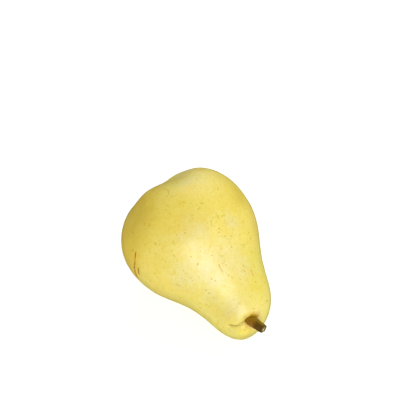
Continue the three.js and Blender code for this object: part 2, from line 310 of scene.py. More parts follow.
class Graph:
    """Adds nodes to a tree and links them. Inputs go by name or index, and each is a value or a socket."""

    def __init__(self, tree):
        self.tree = tree
        self.column = 0

    def add(self, kind, inputs=None, **settings):
        node = self.tree.nodes.new(kind)
        node.location = (NODE_SPACING * self.column, 0)
        self.column += 1
        for name, value in settings.items():
            setattr(node, name, value)
        self.feed(node, inputs or {})
        return node

    def out(self, kind, inputs=None, **settings):
        """The first output of a new node."""
        return self.add(kind, inputs, **settings).outputs[0]

    def feed(self, node, inputs):
        """Sets or links these inputs of the node."""
        for name, value in inputs.items():
            self.plug(node.inputs[name], value)

    def plug(self, socket, value):
        if isinstance(value, bpy.types.NodeSocket):
            self.tree.links.new(value, socket)
        elif socket.type == "RGBA" and len(value) == 3:
            socket.default_value = (*value, 1)
        else:
            socket.default_value = value

    def math(self, operation, *values, clamp=False):
        return self.out("ShaderNodeMath", dict(enumerate(values)), operation=operation, use_clamp=clamp)

    def plus(self, one, other):
        return self.math("ADD", one, other)

    def minus(self, one, other):
        return self.math("SUBTRACT", one, other)

    def times(self, one, other):
        return self.math("MULTIPLY", one, other)

    def most(self, values, operation="MAXIMUM"):
        """The greatest of the values."""
        found = values[0]
        for value in values[1:]:
            found = self.math(operation, found, value)
        return found

    def least(self, values):
        return self.most(values, "MINIMUM")

    def vector(self, operation, *values):
        node = self.add("ShaderNodeVectorMath", operation=operation)
        for socket, value in zip([s for s in node.inputs if s.enabled], values):
            self.plug(socket, value)
        return next(s for s in node.outputs if s.enabled)

    def joined(self, x, y, z):
        return self.out("ShaderNodeCombineXYZ", {0: x, 1: y, 2: z})

    def band(self, value, low, high, to_low=0.0, to_high=1.0):
        """The value turned smoothly from to_low at low to to_high at high."""
        inputs = {0: value, 1: low, 2: high, 3: to_low, 4: to_high}
        return self.out("ShaderNodeMapRange", inputs, interpolation_type="SMOOTHSTEP")

    def noise(self, place, size, detail=2.0, roughness=0.5, shift=0.0):
        """Noise from 0 to 1 whose features are about size across."""
        inputs = {"Vector": place, "W": shift, "Scale": 1 / size, "Detail": detail, "Roughness": roughness}
        return self.out("ShaderNodeTexNoise", inputs, noise_dimensions="4D")

    def wobble(self, place, size, reach, detail=2.0):
        """An uneven offset of up to half the reach either way, with waves about size across."""
        waves = self.add("ShaderNodeTexNoise", {"Vector": place, "Scale": 1 / size, "Detail": detail})
        return self.vector("SCALE", self.vector("SUBTRACT", waves.outputs["Color"], (0.5, 0.5, 0.5)), reach)

    def bump(self, strength, height):
        """The normal of a surface with this fine relief, whose height is given in bump depths."""
        return self.out("ShaderNodeBump", {"Strength": strength, "Distance": BUMP_DEPTH, "Height": height})

    def random(self, low, high, seed, shift=0):
        """A random number for each point or instance."""
        node = self.add("FunctionNodeRandomValue", data_type="FLOAT")
        for name, value in (("Min", low), ("Max", high), ("Seed", self.plus(seed, shift))):
            self.plug(next(s for s in node.inputs if s.name == name and s.enabled), value)
        return next(s for s in node.outputs if s.enabled)

    def mix(self, share, one, other, blend="MIX"):
        """One colour turned by this share into the other."""
        inputs = {0: share, 6: one, 7: other}
        return self.add("ShaderNodeMix", inputs, data_type="RGBA", blend_type=blend).outputs[2]

    def layered(self, colour, layers):
        """The colour under layers of a share and a colour each, from the lowest to the topmost."""
        for share, upper in layers:
            colour = self.mix(share, colour, upper)
        return colour


def new_material(name):
    """A material with one Principled shader: gives it, its graph, the shader and the object's own place."""
    material = bpy.data.materials.new(name)
    material.use_nodes = True
    material.node_tree.nodes.clear()
    graph = Graph(material.node_tree)
    shader = graph.add("ShaderNodeBsdfPrincipled")
    graph.add("ShaderNodeOutputMaterial", {0: shader.outputs[0]})
    place = graph.add("ShaderNodeTexCoord").outputs["Object"]
    return material, graph, shader, place


def geometry_tree(name, sockets):
    """A Geometry Nodes tree with these named inputs. Gives the tree, its graph and its inputs."""
    tree = bpy.data.node_groups.new(name, "GeometryNodeTree")
    tree.is_modifier = True
    tree.interface.new_socket("Geometry", in_out="INPUT", socket_type="NodeSocketGeometry")
    tree.interface.new_socket("Geometry", in_out="OUTPUT", socket_type="NodeSocketGeometry")
    for socket, kind in sockets.items():
        tree.interface.new_socket(socket, in_out="INPUT", socket_type="NodeSocket" + kind)
    graph = Graph(tree)
    return tree, graph, graph.add("NodeGroupInput").outputs


def point_place(graph):
    """The place of each point, and its height."""
    place = graph.out("GeometryNodeInputPosition")
    return place, graph.add("ShaderNodeSeparateXYZ", {0: place}).outputs["Z"]


def shifted(graph, geometry, offset):
    return graph.out("GeometryNodeSetPosition", {"Geometry": geometry, "Offset": offset})


def made_real(graph, geometry):
    return graph.out("GeometryNodeRealizeInstances", {0: geometry})


def end_tree(graph, geometry, material):
    """Ends a tree in Realize Instances and Set Material."""
    inputs = {"Geometry": made_real(graph, geometry), "Material": material}
    graph.add("NodeGroupOutput", {0: graph.out("GeometryNodeSetMaterial", inputs)})


# ---- Settings ----

# Each kind of setting has a function of its own, which gives it its unit.


def metres(name, description, default):
    return FloatProperty(name=name, description=description, default=default, unit="LENGTH", precision=5)


def degrees(name, description, default):
    return FloatProperty(name=name, description=description, default=math.radians(default), subtype="ANGLE")


def watts(name, description, default):
    return FloatProperty(name=name, description=description, default=default, unit="POWER")


def whole(name, description, default):
    return IntProperty(name=name, description=description, default=default, min=0)


def strength(name, description, default):
    return FloatProperty(name=name, description=description, default=default, min=0)


def paint(name, description, default):
    return FloatVectorProperty(
        name=name, description=description, default=default, size=3, subtype="COLOR", min=0, max=1
    )


class PearFruitSettings(bpy.types.PropertyGroup):
    length: metres("Length", "Fruit from blossom end to crown", 0.0831)
    belly_radius: metres("Belly radius", "Radius at the widest place", 0.0337)
    lean_down: metres("Lean down", "How far the crown leans to the under side", 0.0024)
    lean_side: metres("Lean sideways", "How far the crown leans to -Y", 0.00225)
    lobe_rise: metres("Lobe rise", "Height of the lobes round the blossom end", 0.00045)
    crease_depth: metres("Crease depth", "Depth of the crease beside the stalk", 0.0005)
    groove_depth: metres("Groove depth", "Depth of the narrow groove in the crease", 0.00015)
    swell_height: metres("Swell height", "Height of the slow unevenness of the skin", 0.0004)
    swell_size: metres("Swell size", "Width of the slow unevenness", 0.012)
    dimple_height: metres("Dimple height", "Height of the small dimples", 0.00015)
    dimple_size: metres("Dimple size", "Width of the small dimples", 0.004)
    seed: whole("Seed", "Changes the unevenness of the skin", 3)
    shade: paint("Shaded side", "Olive yellow of the blossom end and the shaded side", (0.84, 0.62, 0.065))
    belly: paint("Belly", "Yellow of the skin in the middle", (0.905, 0.75, 0.172))
    neck: paint("Neck", "Pale lemon yellow of the skin at the neck", (0.885, 0.775, 0.207))
    # The cream patches are partly the skin's own paler tone and partly painted light.
    pale: paint("Pale patches", "Cream yellow of the palest skin", (0.869, 0.76, 0.318))
    # The whitish tone of the painted highlight patches.
    painted_highlight: paint("Bloom", "Whitish yellow where the wax is thick", (0.84, 0.755, 0.44))


class PearDotSettings(bpy.types.PropertyGroup):
    spacing: metres("Spacing", "Least distance between two corky dots", 0.0072)
    radius: metres("Radius", "Radius of the largest dots", 0.00028)
    seed: whole("Seed", "Changes where the dots sit", 11)
    cork: paint("Cork", "Colour of the corky dots", linear(196, 176, 6))


class PearStalkSettings(bpy.types.PropertyGroup):
    inside: metres("Inside", "Length of the root in the flesh", 0.004)
    outside: metres("Outside", "Length that shows", 0.0082)
    radius: metres("Radius", "Radius beside the flesh", 0.0023)
    root_swell: metres("Root swell", "Extra radius at the flesh", 0.00025)
    tip_taper: metres("Tip taper", "How much thinner it is at the cut end", 0.0004)
    rib_rise: metres("Rib rise", "Height of the ribs along it", 0.00012)
    root: paint("Root", "Golden brown beside the flesh", linear(150, 112, 6))
    bark: paint("Bark", "Brown of the middle", linear(148, 96, 6))
    # The lower side's reddish flush and the upper side's olive gold are partly painted light and shade.
    flush: paint("Flush", "Reddish brown of the lower side", linear(152, 98, 40))
    edge: paint("Upper side", "Olive gold of the upper side", linear(140, 112, 6))
    olive: paint("Olive", "Dark olive towards the cut end", linear(84, 60, 2))
    pith: paint("Pith", "Pale middle of the cut end", linear(226, 206, 150))


class PearCalyxSettings(bpy.types.PropertyGroup):
    sepals: whole("Sepals", "Number of dried sepals", 5)
    stamens: whole("Stamens", "Number of dried stamens", 20)
    sepal_length: metres("Sepal length", "Length of a sepal", 0.0068)
    sepal_width: metres("Sepal width", "Width of a sepal at its foot", 0.0042)
    seed: whole("Seed", "Changes how sepals and stamens are turned", 5)
    dry: paint("Dry brown", "Colour of the dried sepals", linear(104, 74, 42))


class PearStageSettings(bpy.types.PropertyGroup):
    azimuth: degrees("Azimuth", "Direction of the camera", 48.16)
    elevation: degrees("Elevation", "Height of the camera", 45)
    distance: metres("Distance", "From the camera to the pear", 0.552)
    key_power: watts("Key light", "Power of the low front light", 1.78)
    back_power: watts("Back light", "Power of the light behind", 1.25)
    top_power: watts("Top light", "Power of the light above", 2.2)
    side_power: watts("Side light", "Power of the light to the right", 2.7)
    fill_power: watts("Fill light", "Power of the light to the left", 2.9)
    window_strength: strength("Window", "Brightness of the wide window in front", 0.94)
    floor: paint("Floor", "Colour of the floor", (0.5, 0.5, 0.5))


SETTINGS = {
    "pear_fruit": PearFruitSettings,
    "pear_dots": PearDotSettings,
    "pear_stalk": PearStalkSettings,
    "pear_calyx": PearCalyxSettings,
    "pear_stage": PearStageSettings,
}


# ---- Marks on the skin ----

# Each mark is a chain of places on the skin, as height and around.
DEEP_SCRATCHES = (
    ((0.0206, 75.7), (0.0217, 79.3), (0.0232, 84.8), (0.0236, 89.4), (0.0244, 93.3), (0.0256, 98),
     (0.027, 103.4), (0.0279, 106)),
    ((0.026, 87.1), (0.0267, 89.9), (0.0275, 93.2)),
)
FAINT_SCRATCHES = (
    ((0.0502, 21.8), (0.0518, 22.8), (0.0532, 23.1)),
    ((0.0439, 70.5), (0.0457, 69.9)),
    ((0.0599, -14.7), (0.0627, -14.8)),
)
CORK_LINES = (
    ((0.0062, 20.1), (0.0066, 16.7), (0.0088, 16.5), (0.0108, 18.5), (0.0109, 22.1)),
    ((0.0738, 77.6), (0.0753, 81)),
    ((0.0182, 80.5), (0.0185, 77.2), (0.0195, 76.9)),
)
# Russet along the stalk's upper side, brown and orange, partly painted shade in the hollow between flesh and
# stalk.
BROWN_RUSSET_AND_SHADE = ((0.0765, 23), (0.0777, 17), (0.0784, 12))
ORANGE_RUSSET_AND_SHADE = ((0.0767, 21), (0.0774, 15), (0.0777, 9))
# Soft patches of another tone, partly the skin's own and partly painted shade: height, around, reach. First
# golden ones, then olive and greenish ones.
TINT_AND_SHADE_PATCHES = (
    ((0.99, 0.937, 0.6), (
        (0.0157, 46, 0.012), (0.017, 62, 0.011), (0.028, -38, 0.011), (0.0675, -15, 0.007),
        (0.0795, 50, 0.008),
    )),
    ((0.89, 0.88, 0.7), ((0.0105, 48, 0.014), (0.0311, -35, 0.009))),
    ((0.93, 0.98, 1.0), ((0.0155, 66, 0.012),)),
)
# Patches of cream yellow: height, around, reach. They are partly the skin's own paler tone and partly painted
# light and painted highlight.
PALE_AND_PAINTED_LIGHT_PATCHES = (
    (0.0488, 35, 0.012), (0.0493, 13, 0.016), (0.0689, 42, 0.008), (0.0446, 59, 0.012), (0.0319, 20, 0.012),
    (0.0096, -9, 0.01), (0.0037, -24, 0.008), (0.0385, -11, 0.009), (0.058, -2, 0.009),
)
# A painted highlight: whitish patches along where the key light shines in the skin.
PAINTED_HIGHLIGHT_PATCHES = (
    (0.0417, 29, 0.006), (0.0482, 33, 0.005), (0.0547, 36, 0.006), (0.0412, 43, 0.004), (0.0581, 57, 0.005),
)
# Dull skin under the crease.
DULL_SPOT = (0.0783, 54)
# The larger specks: height, around.
SPECKS = (
    (0.0305, 29.1), (0.0393, 5.2), (0.038, 3.3), (0.0421, 2.1), (0.0434, -4.3), (0.0401, 38.2),
    (0.0562, 18.9), (0.0544, 36.5), (0.0547, 53.3), (0.0568, -5.3), (0.0586, -42.7), (0.0787, 54.3),
)


def segment_group():
    """A node group that gives the distance from a place to the straight line between two ends."""
    tree = bpy.data.node_groups.new("Distance to segment", "ShaderNodeTree")
    for name in ("Place", "Start", "End"):
        tree.interface.new_socket(name, in_out="INPUT", socket_type="NodeSocketVector")
    tree.interface.new_socket("Distance", in_out="OUTPUT", socket_type="NodeSocketFloat")
    graph = Graph(tree)
    place, start, end = graph.add("NodeGroupInput").outputs[:3]
    away = graph.vector("SUBTRACT", place, start)
    run = graph.vector("SUBTRACT", end, start)
    along = graph.vector("DOT_PRODUCT", away, run)
    share = graph.math("DIVIDE", along, graph.vector("DOT_PRODUCT", run, run), clamp=True)
    across = graph.vector("SUBTRACT", away, graph.vector("SCALE", run, share))
    graph.add("NodeGroupOutput", {0: graph.vector("LENGTH", across)})
    return tree


# ---- Skin ----

# The side of the lying fruit whose skin is olive: partly its own greener side, partly painted shade.
SHADED_SIDE = Vector((-0.86, -0.51, 0))

# Where each tone sets in and where it is full: up the fruit, towards the shaded side, and from the calyx.
NECK_TONE = (0.036, 0.06)
SHADE_TONE = (0.01, 0.023)
BASIN_TONE = (0.017, 0.006)

# Size and reach of the noise that keeps tones, patches and marks from being even.
TONE_WAVER = (0.018, 0.012)
PATCH_DRIFT = (0.008, 0.012)
MARK_SHAKE = (0.0009, 0.0005)

# How much of the painted highlight's whitish tone is laid on.
PAINTED_HIGHLIGHT_SHARE = 0.42

# Clouding, from slow to fine: size, shift of the noise, where it sets in and is full, share, tint. First come
# deeper gold, a little green and a faint orange flush, then grain.
CLOUDS = (
    (0.016, 0.0, 0.45, 0.7, 0.6, (0.99, 0.93, 0.66)),
    (0.02, 4.0, 0.5, 0.7, 0.6, (0.95, 0.98, 0.84)),
    (0.01, 8.0, 0.55, 0.72, 0.7, (1.0, 0.945, 0.86)),
    (0.0045, 12.0, 0.42, 0.66, 0.8, (0.99, 0.96, 0.7)),
    (0.0018, 16.0, 0.4, 0.66, 0.85, (0.98, 0.955, 0.68)),
    (0.0009, 20.0, 0.4, 0.66, 0.85, (0.965, 0.95, 0.66)),
)

PORE_CELL = 0.0019
SCRATCH_THINNING = 0.0012

# The lying fruit's skin is even below this height, because it rests there.
UNEVEN_ABOVE = 0.002


def skin_material(sizes, lying):
    """Waxy yellow skin with clouding, breathing pores, russet and scratches, and patches of painted light,
    highlight and shade.
    """
    material, graph, shader, place = new_material("Pear skin")
    group = segment_group()

    def on_skin(height, around):
        return lying @ Vector(skin_place(sizes, height, around))

    # Olive yellow in the basin, and on the shaded side, where it is partly the fruit's own tone and partly
    # painted shade; pale lemon yellow at the neck.
    blossom = lying @ Vector(skin_point(sizes, 0))
    core = lying.to_3x3() @ Vector((1, 0, 0))
    from_blossom = graph.vector("DISTANCE", place, blossom)
    size, reach = TONE_WAVER
    waver = graph.times(graph.minus(graph.noise(place, size, 3, 0.5, 5.0), 0.5), reach)
    height = graph.vector("DOT_PRODUCT", graph.vector("SUBTRACT", place, blossom), core)
    shaded = graph.plus(graph.vector("DOT_PRODUCT", place, SHADED_SIDE), waver)
    olive = graph.most([graph.band(shaded, *SHADE_TONE), graph.band(from_blossom, *BASIN_TONE)])
    colour = graph.mix(graph.band(graph.plus(height, waver), *NECK_TONE), sizes.belly, sizes.neck)
    colour = graph.mix(olive, colour, sizes.shade)

    drifted = graph.vector("ADD", place, graph.wobble(place, *PATCH_DRIFT))

    def patches(spots):
        """1 in the middle of the nearest of these patches, 0 outside them."""
        found = []
        for at, around, reach in spots:
            found.append(graph.band(graph.vector("DISTANCE", drifted, on_skin(at, around)), reach, 0.0))
        return graph.most(found)

    # Cream patches, partly painted light, then whitish patches that are a painted highlight.
    colour = graph.mix(patches(PALE_AND_PAINTED_LIGHT_PATCHES), colour, sizes.pale)
    colour = graph.mix(graph.times(patches(PAINTED_HIGHLIGHT_PATCHES), PAINTED_HIGHLIGHT_SHARE), colour, sizes.painted_highlight)
    # Darker patches, partly painted shade.
    for tint, spots in TINT_AND_SHADE_PATCHES:
        colour = graph.mix(patches(spots), colour, tint, "MULTIPLY")
    for size, shift, low, high, share, tint in CLOUDS:
        cloud = graph.band(graph.noise(place, size, 3, 0.55, shift), low, high, 0, share)
        colour = graph.mix(cloud, colour, tint, "MULTIPLY")

    # Every mark is laid on a place that is shaken a little, so that no line is ruled and no dot is round.
    shaken = graph.vector("ADD", place, graph.wobble(place, *MARK_SHAKE))

    def from_chains(*chains):
        """The least distance to any of these chains of places on the skin."""
        found = []
        for chain in chains:
            points = [on_skin(*spot) for spot in chain]
            for start, end in zip(points, points[1:]):
                inputs = {"Place": shaken, "Start": start, "End": end}
                found.append(graph.out("ShaderNodeGroup", inputs, node_tree=group))
        return graph.least(found)

    def mark(distance, reach, full, share=1.0):
        """Covers its share of the skin up to the distance full, and none of it past reach."""
        return graph.band(distance, reach, full, 0.0, share)

    # Breathing pores, each a little different, and fine broken lines where the skin has stretched.
    pores = graph.add("ShaderNodeTexVoronoi", {"Vector": shaken, "Scale": 1 / PORE_CELL}, feature="F1")
    chance = graph.out("ShaderNodeSeparateColor", {0: pores.outputs["Color"]})
    from_pore = graph.times(pores.outputs["Distance"], PORE_CELL)
    dot = graph.times(mark(from_pore, reach=0.0005, full=0.00015), graph.band(chance, 0.3, 1.0, 0.0, 0.42))
    stretch = graph.math("ABSOLUTE", graph.minus(graph.noise(place, 0.0042, 3, 0.5, 24.0), 0.5))
    broken = graph.band(graph.noise(place, 0.0028, 2, 0.5, 28.0), 0.51, 0.63, 0, 0.68)
    line = graph.times(graph.band(stretch, 0.016, 0.004), broken)

    # Russet rubbed round the calyx, russet and painted shade in the hollow beside the stalk, and dull skin
    # under the crease.
    grain = graph.noise(place, 0.0012, 5, 0.7, 2.0)
    russet = graph.times(mark(from_blossom, reach=0.0135, full=0.004), graph.band(grain, 0.42, 0.6))
    from_seat = graph.vector("DISTANCE", place, on_skin(*STALK_SEAT))
    brown = mark(from_chains(BROWN_RUSSET_AND_SHADE), reach=0.0014, full=0.0002, share=0.7)
    dull = mark(graph.vector("DISTANCE", place, on_skin(*DULL_SPOT)), reach=0.0055, full=0.0022, share=0.5)

    # Scratches that thin out along their way, cork, specks, and the crease's painted shade, which is fainter
    # in one place.
    patchy = graph.band(graph.noise(place, 0.0012, 3, 0.6, 6.0), 0.35, 0.6, 0.3, 1)
    thinning = graph.times(graph.minus(graph.noise(place, 0.0016, 3, 0.6, 36.0), 0.52), SCRATCH_THINNING)
    deep = graph.plus(from_chains(*DEEP_SCRATCHES), thinning)
    deep_halo = graph.times(mark(deep, reach=0.0013, full=0.0002, share=0.5), patchy)
    deep_line = graph.times(mark(deep, reach=0.00045, full=0.00015), graph.band(patchy, 0.3, 1, 0.6, 0.95))
    faint = from_chains(*FAINT_SCRATCHES)
    faint_line = mark(faint, reach=0.0003, full=0.0001, share=0.5)
    cork = graph.times(mark(from_chains(*CORK_LINES), reach=0.0003, full=0.0001, share=0.55), patchy)
    from_specks = graph.least([graph.vector("DISTANCE", shaken, on_skin(*spot)) for spot in SPECKS])
    speck = mark(from_specks, reach=0.0005, full=0.0002, share=0.5)
    crease = from_chains(CREASE)
    # How strong the crease's painted shade is: fainter in one place.
    crease_shade_strength = graph.band(graph.vector("DISTANCE", place, on_skin(*CREASE_GAP)), 0.0003, 0.0015, 0.3, 0.75)
    painted_crease_shade = graph.times(mark(crease, reach=0.00038, full=0.00004), crease_shade_strength)

    colour = graph.layered(colour, (
        (dot, linear(194, 170, 0)),
        (line, linear(206, 182, 0)),
        (graph.times(russet, 0.8), linear(150, 112, 52)),
        (mark(from_blossom, reach=0.0032, full=0.002), linear(52, 36, 20)),
        (mark(from_seat, reach=0.0062, full=0.0028, share=0.35), linear(246, 200, 100)),
        # Orange and brown russet by the stalk, partly painted shade.
        (mark(from_chains(ORANGE_RUSSET_AND_SHADE), reach=0.0021, full=0.0003, share=0.7), linear(224, 176, 0)),
        (brown, linear(186, 138, 0)),
        (deep_halo, linear(226, 150, 20)),
        (mark(faint, reach=0.0011, full=0.0001, share=0.25), linear(240, 190, 84)),
        (faint_line, linear(174, 130, 6)),
        (deep_line, linear(148, 82, 0)),
        # The crease's darker band and dark line: painted shade.
        (mark(crease, reach=0.0014, full=0.0002, share=0.3), linear(206, 180, 40)),
        (painted_crease_shade, linear(104, 80, 4)),
        (cork, linear(160, 136, 0)),
        (speck, linear(156, 132, 0)),
    ))

    # The wax lies unevenly, so the gloss does too.
    gloss = graph.band(graph.noise(place, 0.006, 4, 0.6, 9.0), 0.3, 0.7, 0.42, 0.52)
    relief = graph.times(graph.noise(place, 0.0009, 2, 0.5, 1.0), 0.35)
    relief = graph.minus(relief, graph.times(deep_line, 0.8))
    relief = graph.plus(relief, graph.times(graph.plus(dot, line), 0.3))
    relief = graph.plus(relief, mark(crease, reach=0.0011, full=0.0, share=-2.2))

    # The waxy coat is broken where the skin is marked, and the skin is dull there.
    bare = graph.most([deep_line, russet, dull, brown, faint_line, painted_crease_shade, cork, speck, dot, line])
    graph.feed(shader, {
        "Base Color": colour,
        "Roughness": gloss,
        "Normal": graph.bump(0.35, relief),
        "IOR": 1.5,
        "Specular IOR Level": graph.band(bare, 0.0, 0.8, 0.5, 0.05),
        "Subsurface Weight": 0.25,
        "Subsurface Radius": (1.0, 0.7, 0.25),
        "Subsurface Scale": 0.003,
        "Coat Weight": graph.minus(1.0, bare),
        "Coat Roughness": 0.33,
        "Coat IOR": 1.75,
    })
    return material


def skin_tree(material):
    """Unevenness of the skin: slow swells and small dimples along its normals, none where it rests."""
    sockets = {
        "Swell height": "Float", "Swell size": "Float", "Dimple height": "Float", "Dimple size": "Float",
        "Seed": "Int",
    }
    tree, graph, given = geometry_tree("Skin unevenness", sockets)
    place, level = point_place(graph)
    normal = graph.out("GeometryNodeInputNormal")

    def waves(kind, shift):
        scale = graph.math("DIVIDE", 1.0, given[kind + " size"])
        inputs = {"Vector": place, "W": graph.plus(given["Seed"], shift), "Scale": scale, "Detail": 1.0}
        field = graph.out("ShaderNodeTexNoise", inputs, noise_dimensions="4D")
        return graph.times(graph.minus(field, 0.5), given[kind + " height"])

    rise = graph.plus(waves("Swell", 0.3), waves("Dimple", 7.7))
    rise = graph.times(rise, graph.band(level, 0.0, UNEVEN_ABOVE))
    end_tree(graph, shifted(graph, given["Geometry"], graph.vector("SCALE", normal, rise)), material)
    return tree


def skin_mesh(sizes, lying, sides, rings_per_span):
    """Vertices and faces of the skin where it lies, flattened where it rests."""
    t = np.arange(1, SPANS * rings_per_span) / rings_per_span
    rings = skin_points(sizes, t, circle(sides))
    vertices, faces = loft(skin_point(sizes, 0), rings, skin_point(sizes, SPANS))
    vertices = vertices @ np.array(lying.to_3x3()).T + np.array(lying.translation)
    vertices[:, 2] = np.maximum(vertices[:, 2], 0)
    return vertices, faces


class PEAR_OT_fruit(bpy.types.Operator):
    """Makes the fruit's skin"""

    bl_idname = "pear.fruit"
    bl_label = "Fruit"

    def execute(self, context):
        sizes = context.scene.pear_fruit
        lying = resting_place(sizes)
        material = skin_material(sizes, lying)
        skin = mesh_object("pear_skin", *skin_mesh(sizes, lying, SKIN_SIDES, SKIN_RINGS_PER_SPAN))
        values = {
            "Swell height": sizes.swell_height, "Swell size": sizes.swell_size,
            "Dimple height": sizes.dimple_height, "Dimple size": sizes.dimple_size, "Seed": sizes.seed,
        }
        applied(skin, skin_tree(material), values)
        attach(skin, BODY)
        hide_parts("fruit")
        return {"FINISHED"}


# ---- Corky dots ----

# Dots to a square metre before they are thinned out.
DOTS_PER_AREA = 30000.0
DOT_FLATNESS = 0.2
# The lying fruit has no dots below this height, because it rests there.
DOTS_ABOVE = 0.0015
DOT_SKIN_SIDES = 96
DOT_SKIN_RINGS_PER_SPAN = 12


def cork_material(dots):
    material, graph, shader, place = new_material("Cork")
    grain = graph.noise(place, 0.00015, 2, 0.5)
    spread = graph.noise(place, 0.009, 1, 0.5, 3.0)
    colour = graph.layered(dots.cork, (
        (graph.band(spread, 0.4, 0.6), linear(206, 184, 24)),
        (graph.band(grain, 0.3, 0.7, 0, 0.3), linear(144, 114, 8)),
    ))
    graph.feed(shader, {"Base Color": colour, "Roughness": 0.75})
    return material


def dot_tree(material):
    """Low, uneven domes scattered on a surface, each of its own size, length and turn."""
    tree, graph, given = geometry_tree("Corky dots", {"Spacing": "Float", "Radius": "Float", "Seed": "Int"})
    clear = graph.math("GREATER_THAN", point_place(graph)[1], DOTS_ABOVE)
    inputs = {"Mesh": given["Geometry"], "Selection": clear, "Distance Min": given["Spacing"],
              "Density Max": DOTS_PER_AREA, "Seed": given["Seed"]}
    points = graph.add("GeometryNodeDistributePointsOnFaces", inputs, distribute_method="POISSON").outputs
    ball = graph.out("GeometryNodeMeshIcoSphere", {"Radius": given["Radius"], "Subdivisions": 3})
    spin = graph.joined(0.0, 0.0, graph.random(0.0, math.tau, given["Seed"]))
    inputs = {0: points["Rotation"], 1: spin}
    turned = graph.out("FunctionNodeRotateRotation", inputs, rotation_space="LOCAL")
    wide = graph.random(0.3, 0.9, given["Seed"], 1)
    long = graph.times(wide, graph.random(1.0, 1.9, given["Seed"], 2))
    inputs = {"Points": points["Points"], "Instance": ball, "Rotation": turned,
              "Scale": graph.joined(long, wide, DOT_FLATNESS)}
    real = made_real(graph, graph.out("GeometryNodeInstanceOnPoints", inputs))
    uneven = shifted(graph, real, graph.wobble(point_place(graph)[0], 0.00035, 0.0003, 1.0))
    end_tree(graph, graph.out("GeometryNodeSetShadeSmooth", {0: uneven}), material)
    return tree


class PEAR_OT_dots(bpy.types.Operator):
    """Scatters raised corky dots on the skin"""

    bl_idname = "pear.dots"
    bl_label = "Corky dots"

    def execute(self, context):
        sizes, dots = context.scene.pear_fruit, context.scene.pear_dots
        skin = skin_mesh(sizes, resting_place(sizes), DOT_SKIN_SIDES, DOT_SKIN_RINGS_PER_SPAN)
        piece = mesh_object("pear_corky_dots", *skin)
        values = {"Spacing": dots.spacing, "Radius": dots.radius, "Seed": dots.seed}
        applied(piece, dot_tree(cork_material(dots)), values)
        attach(piece, BODY)
        return {"FINISHED"}


# ---- Stalk ----

STALK_SIDES = 96
STALK_RINGS = 110
STALK_RIBS = 5
RIB_TWIST = 0.25
BARK_GRAIN = 0.00007
BARK_KNOBS = 0.00016
# The bark's fibres are this much slower along the stalk than across it.
FIBRE_STRETCH = 0.16
# The cut end: its rounded edge, the share of the radius inside it, and how the wood sinks and the pith rises.
CUT_ROUNDING = 0.00035
CUT_SHARE = 0.88
CUT_HOLLOW = 0.0003
CUT_EDGE_RINGS = 5
CUT_FACE_RINGS = 12
PITH_RISE = 0.00025
PITH_MIDDLE = (0.0, -0.0004, 0.0)


def stalk_axes(sizes):
    """The stalk's seat and its directions along, up and sideways, in the fruit's frame."""
    lean, turn = math.radians(STALK_LEAN), math.radians(STALK_TURN)
    along = Vector((math.cos(lean) * math.cos(turn), math.sin(turn), math.sin(lean) * math.cos(turn)))
    up = Vector((-math.sin(lean), 0, math.cos(lean)))
    return Vector(skin_place(sizes, *STALK_SEAT)), along, up, along.cross(up)


def stalk_material(stalk, lying, sizes):
    """Brown bark with lengthwise fibres, and a cut end with a dark rim and pale pith."""
    material, graph, shader, place = new_material("Pear stalk")
    seat, *axes = stalk_axes(sizes)
    from_seat = graph.vector("SUBTRACT", place, lying @ seat)
    turn = lying.to_3x3()
    distance, height, across = (graph.vector("DOT_PRODUCT", from_seat, turn @ axis) for axis in axes)
    fibre = graph.noise(graph.joined(graph.times(distance, FIBRE_STRETCH), height, across), 0.0005, 4, 0.6)
    patch = graph.noise(place, 0.0022, 3, 0.6, 2.0)

    # Golden at the root, reddish on the lower side, dark olive towards the cut end, olive gold on the upper
    # side. The reddish lower side and the olive gold upper side are partly the stalk's own colour and partly
    # painted light and shade.
    end = graph.plus(graph.math("DIVIDE", distance, stalk.outside), graph.times(patch, 0.5))
    lower = graph.band(graph.minus(across, height), 0.0, 0.0026)
    upper = graph.band(graph.minus(height, across), 0.0012, 0.0028, 0, 0.9)
    bark = graph.layered(stalk.root, (
        (graph.band(end, 0.3, 0.75), stalk.bark),
        (graph.times(lower, graph.band(end, 1.3, 0.7, 0, 0.7)), stalk.flush),
        (graph.band(end, 0.5, 0.9, 0, 0.95), stalk.olive),
        (upper, stalk.edge),
        (graph.band(fibre, 0.45, 0.68, 0, 0.5), linear(88, 56, 2)),
        (graph.band(patch, 0.56, 0.72, 0, 0.25), linear(176, 128, 60)),
    ))

    # The cut end: greyish wood round the pith, and the bark's dark rim.
    flat = graph.joined(0.0, height, across)
    wood = graph.layered(linear(150, 132, 84), (
        (graph.band(graph.noise(place, 0.0003, 3, 0.6), 0.35, 0.65), linear(100, 82, 44)),
        (graph.band(graph.vector("DISTANCE", flat, PITH_MIDDLE), 0.00075, 0.0004), stalk.pith),
        (graph.band(graph.vector("LENGTH", flat), 0.0012, 0.0017), linear(74, 56, 12)),
    ))
    face = graph.band(distance, stalk.outside - 0.0005, stalk.outside - 0.0002)
    graph.feed(shader, {
        "Base Color": graph.mix(face, bark, wood),
        "Roughness": graph.band(patch, 0.3, 0.7, 0.5, 0.7),
        "Normal": graph.bump(0.6, fibre),
        "Specular IOR Level": 0.25,
    })
    return material


def ring_noise(angles, radius, height):
    """Smooth noise at these angles of a ring, whose radius and height are in the noise's own units."""
    points = [Vector((radius * math.cos(angle), radius * math.sin(angle), height)) for angle in angles]
    return np.array([noise.noise(point) for point in points])


